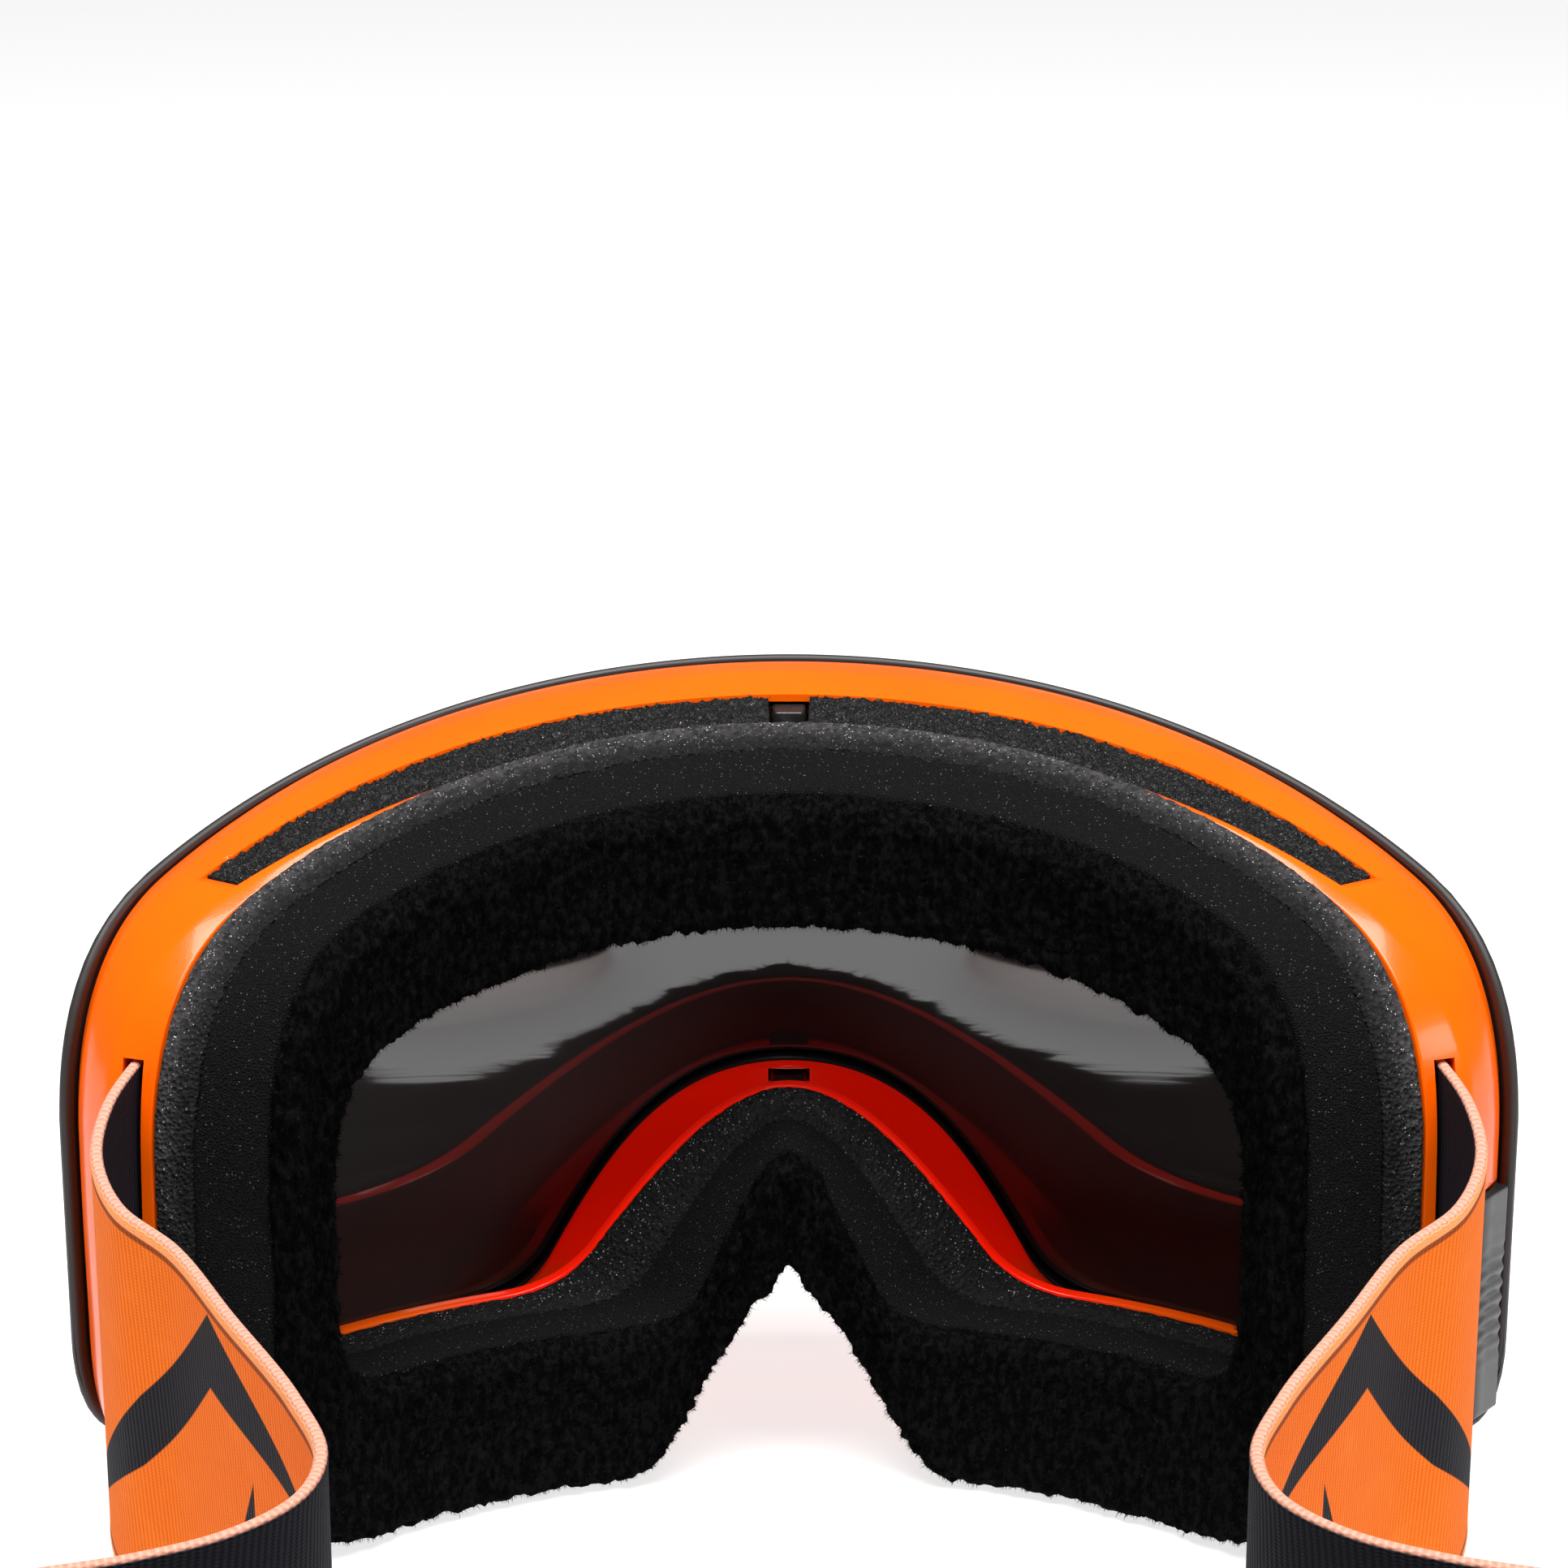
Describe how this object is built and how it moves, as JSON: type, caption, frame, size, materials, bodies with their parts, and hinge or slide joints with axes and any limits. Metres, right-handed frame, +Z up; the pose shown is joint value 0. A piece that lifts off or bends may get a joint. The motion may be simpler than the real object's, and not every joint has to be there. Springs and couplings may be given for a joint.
{
  "type": "ski goggles",
  "caption": "Wide cylindrical-lens snow goggles with a soft shell frame, layered face foam, clip-in double lens with a release lever, and a webbing head strap closed behind by sliders.",
  "frame": {"origin": "bottom centre of the bounding box, on the surface the goggles stand on", "axes": "+Z up, +Y from the lens towards the back of the head, +X towards the wearer's left"},
  "size_m": [0.18, 0.21, 0.0988],
  "materials": {
    "frame_shell": "glossy moulded TPU, vivid orange",
    "outer_lens": "polished dark tinted polycarbonate",
    "inner_lens": "clear anti-fog sheet that shows the dark outer lens behind it",
    "gasket": "matt foam rubber",
    "hard_black": "satin moulded nylon",
    "steel": "bright wire",
    "vent_foam": "open-cell reticulated foam, black",
    "speckled_foam": "open-cell foam, grey with bright and black specks",
    "black_foam": "fine matt foam, black",
    "fleece": "brushed microfleece, black",
    "webbing": "ribbed elastic webbing, orange outside with a black angular pattern, black inside, pale edges"
  },
  "bodies": {
    "frame_and_strap": {"main_frame": "frame_shell", "face_foam_base": "speckled_foam", "face_foam_middle": "black_foam", "face_fleece": "fleece", "vent_foam_top_inner_left": "vent_foam", "vent_foam_top_inner_right": "vent_foam", "vent_foam_top_outer_left": "vent_foam", "vent_foam_top_outer_right": "vent_foam", "vent_foam_bottom_left": "vent_foam", "vent_foam_bottom_right": "vent_foam", "strap_left": "webbing", "strap_right": "webbing", "strap_anchor_bar_left": "steel", "strap_anchor_bar_right": "steel", "release_lever_pin": "steel"},
    "lens_module": {"outer_lens": "outer_lens", "inner_lens": "inner_lens", "lens_gasket": "gasket", "lens_carrier": "hard_black", "carrier_tab_centre": "hard_black", "carrier_tab_left": "hard_black", "carrier_tab_right": "hard_black", "carrier_tab_nose": "hard_black"},
    "lever": {"release_lever": "hard_black"},
    "slider_left": {"strap_slider_left": "hard_black"},
    "slider_right": {"strap_slider_right": "hard_black"}
  },
  "joints": [
    {"name": "lens_pull_off", "type": "slide", "parent": "frame_and_strap", "child": "lens_module", "axis": [0, -1, 0], "range_m": [0, 0.03]},
    {"name": "lever_swing", "type": "hinge", "parent": "frame_and_strap", "child": "lever", "pos_m": [-0.084, -0.0432, 0.032], "axis": [0, 0, -1], "range_deg": [0, 35]},
    {"name": "slider_left_adjust", "type": "slide", "parent": "frame_and_strap", "child": "slider_left", "axis": [1, 0, 0], "range_m": [-0.018, 0.009]},
    {"name": "slider_right_adjust", "type": "slide", "parent": "frame_and_strap", "child": "slider_right", "axis": [1, 0, 0], "range_m": [-0.009, 0.018]}
  ]
}
